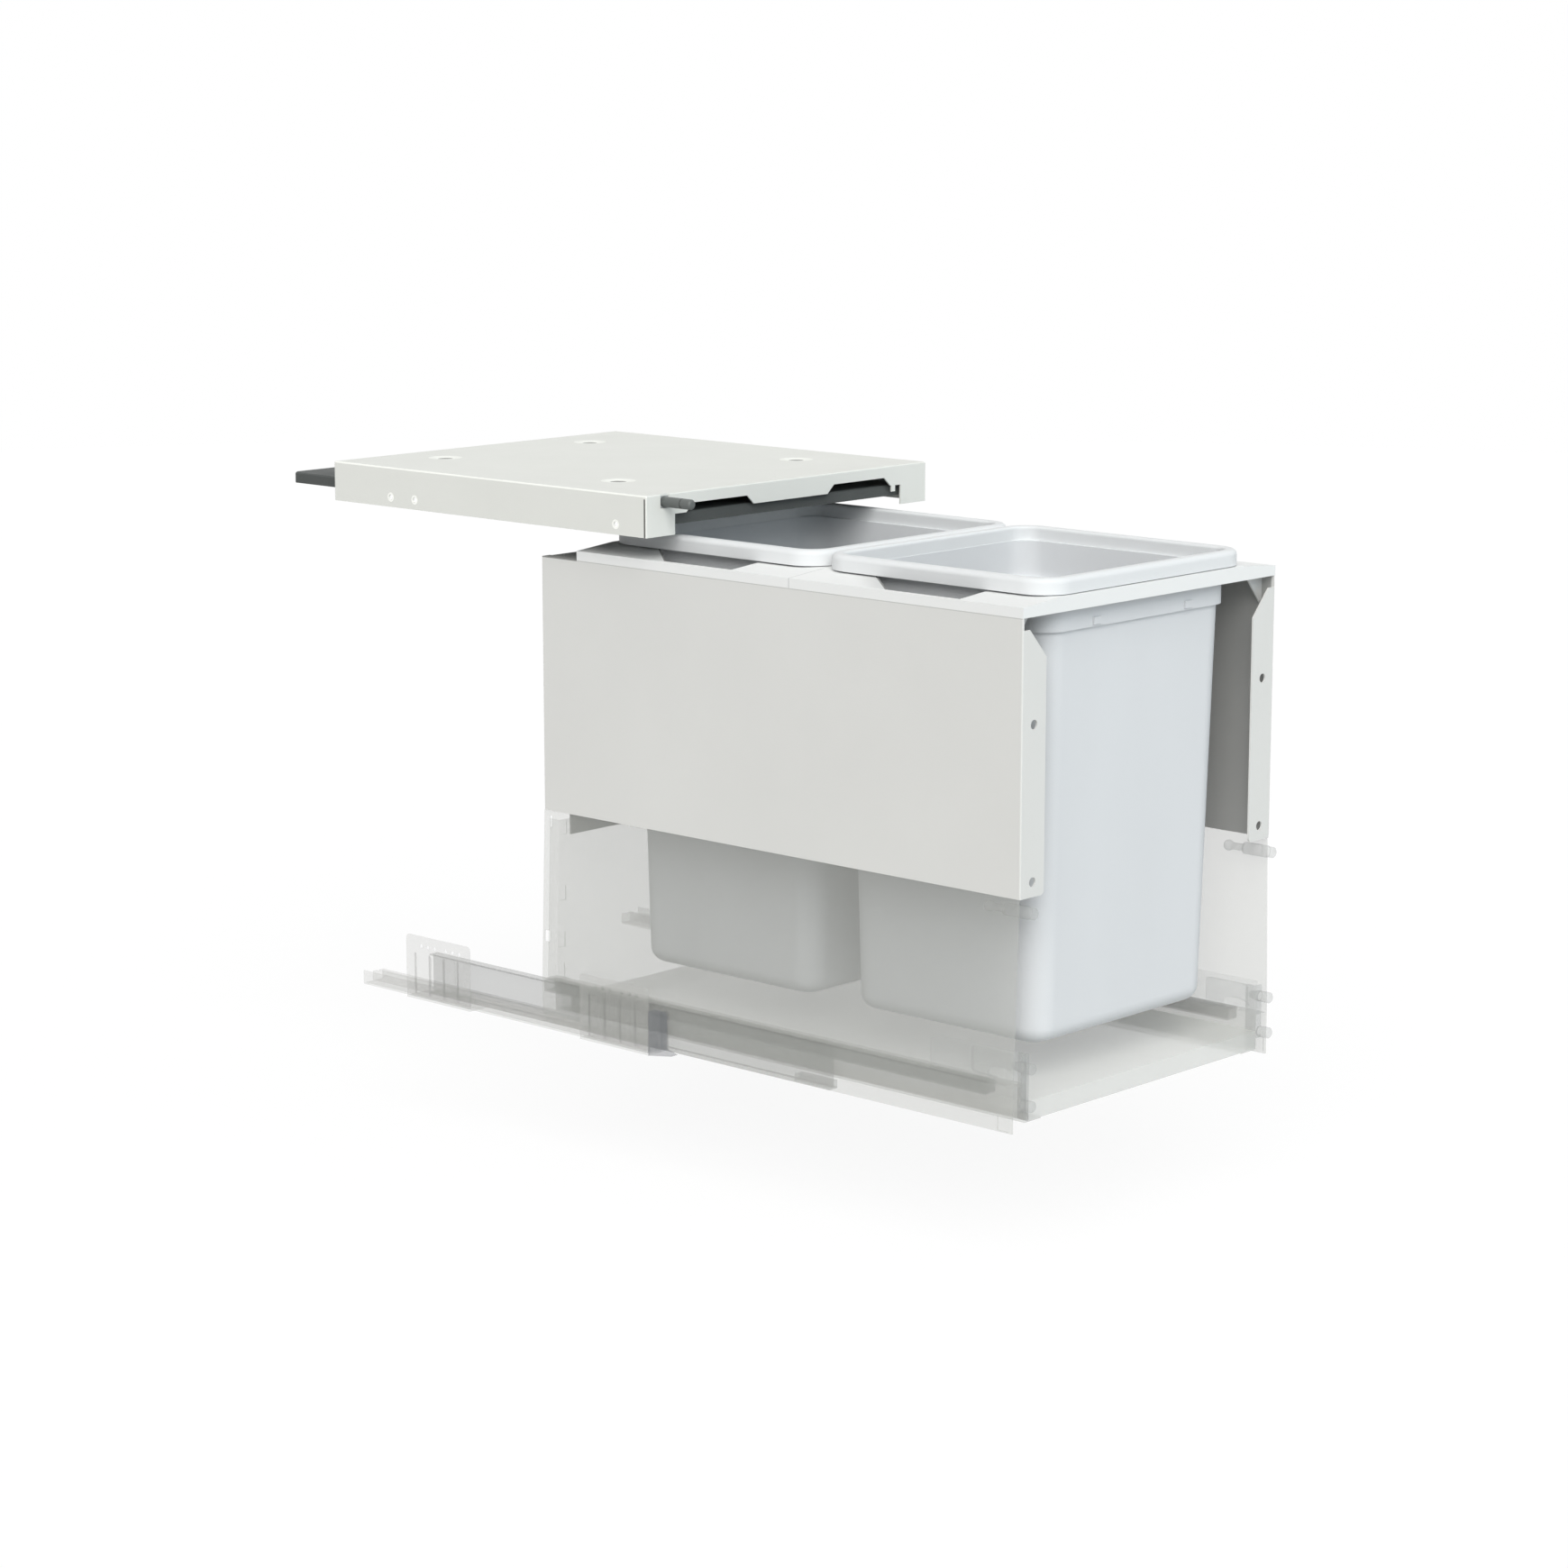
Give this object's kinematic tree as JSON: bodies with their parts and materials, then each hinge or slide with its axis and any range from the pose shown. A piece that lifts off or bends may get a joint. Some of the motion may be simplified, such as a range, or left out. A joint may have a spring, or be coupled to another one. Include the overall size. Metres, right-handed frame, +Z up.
{
  "type": "pull-out waste bin unit",
  "caption": "Full-extension drawer that hangs waste bins in a top frame, with a fixed housing whose closing panel lowers onto the bins as the drawer shuts.",
  "frame": {"origin": "centre of the lid housing's top face, which lies against the cabinet's top", "axes": "+X to the right across the cabinet, +Y into the cabinet, +Z up; the drawer pulls out along -Y"},
  "size_m": [0.368, 0.8995, 0.4898],
  "materials": {
    "white_sheet": "smooth white powder coat",
    "white_plastic": "fine satin moulding",
    "bin_plastic": "fine satin moulding",
    "dark_plastic": "fine matt grain",
    "grey_plastic": "satin moulding",
    "silver_sheet": "satin silver-grey coat",
    "zinc_steel": "zinc-plated steel",
    "white_board": "white laminate on board"
  },
  "bodies": {
    "cabinet_fixed": {"lid_housing": "white_sheet", "guide_blocks": "grey_plastic", "rail_studs": "zinc_steel", "plunger_bush": "grey_plastic", "bracket_front_left": "zinc_steel", "bracket_front_right": "zinc_steel", "bracket_rear_left": "zinc_steel", "bracket_rear_right": "zinc_steel", "cabinet_runner_left": "zinc_steel", "cabinet_runner_right": "zinc_steel", "runner_stop_left": "dark_plastic", "runner_stop_right": "dark_plastic"},
    "middle_left": {"middle_member_left": "zinc_steel", "middle_glide_left": "grey_plastic"},
    "middle_right": {"middle_member_right": "zinc_steel", "middle_glide_right": "grey_plastic"},
    "drawer": {"frame_gussets": "white_sheet", "frame_front": "white_plastic", "frame_rear": "white_plastic", "bin_front": "bin_plastic", "bin_rear": "bin_plastic", "bag_ring_front": "white_plastic", "bag_ring_rear": "white_plastic", "drawer_base": "white_board", "drawer_back": "silver_sheet", "side_panel_left": "white_sheet", "side_panel_right": "white_sheet", "drawer_side_left": "silver_sheet", "drawer_side_right": "silver_sheet", "drawer_member_left": "zinc_steel", "drawer_member_right": "zinc_steel", "front_block_left": "grey_plastic", "front_block_right": "grey_plastic", "front_pegs_left": "grey_plastic", "front_pegs_right": "grey_plastic", "front_bracket_left": "zinc_steel", "front_bracket_right": "zinc_steel", "cover_cap_left": "grey_plastic", "cover_cap_right": "grey_plastic", "upper_connector_left": "zinc_steel", "upper_connector_right": "zinc_steel"},
    "closing_panel": {"closing_panel": "dark_plastic", "panel_trunnions": "zinc_steel"},
    "lid_slide": {"cam_rail_left": "zinc_steel", "cam_rail_right": "zinc_steel", "rail_cross_bar": "zinc_steel", "plunger": "white_plastic"}
  },
  "joints": [
    {"name": "drawer_slide", "type": "slide", "parent": "cabinet_fixed", "child": "drawer", "axis": [0, 1, 0], "range_m": [-0.146, 0.4]},
    {"name": "middle_left_slide", "type": "slide", "parent": "cabinet_fixed", "child": "middle_left", "axis": [0, 1, 0], "range_m": [-0.073, 0.2]},
    {"name": "middle_right_slide", "type": "slide", "parent": "cabinet_fixed", "child": "middle_right", "axis": [0, 1, 0], "range_m": [-0.073, 0.2]},
    {"name": "closing_panel_drop", "type": "slide", "parent": "cabinet_fixed", "child": "closing_panel", "axis": [0, 0, -1], "range_m": [0, 0.0106], "stiffness_N_per_m": 200, "springref_m": -0.08},
    {"name": "cam_slide", "type": "slide", "parent": "cabinet_fixed", "child": "lid_slide", "axis": [0, 1, 0], "range_m": [0, 0.03]}
  ],
  "couplings": [
    {"joint": "middle_left_slide", "follows": "drawer_slide", "ratio": 0.5},
    {"joint": "middle_right_slide", "follows": "drawer_slide", "ratio": 0.5},
    {"joint": "cam_slide", "follows": "closing_panel_drop", "ratio": 2.83}
  ]
}
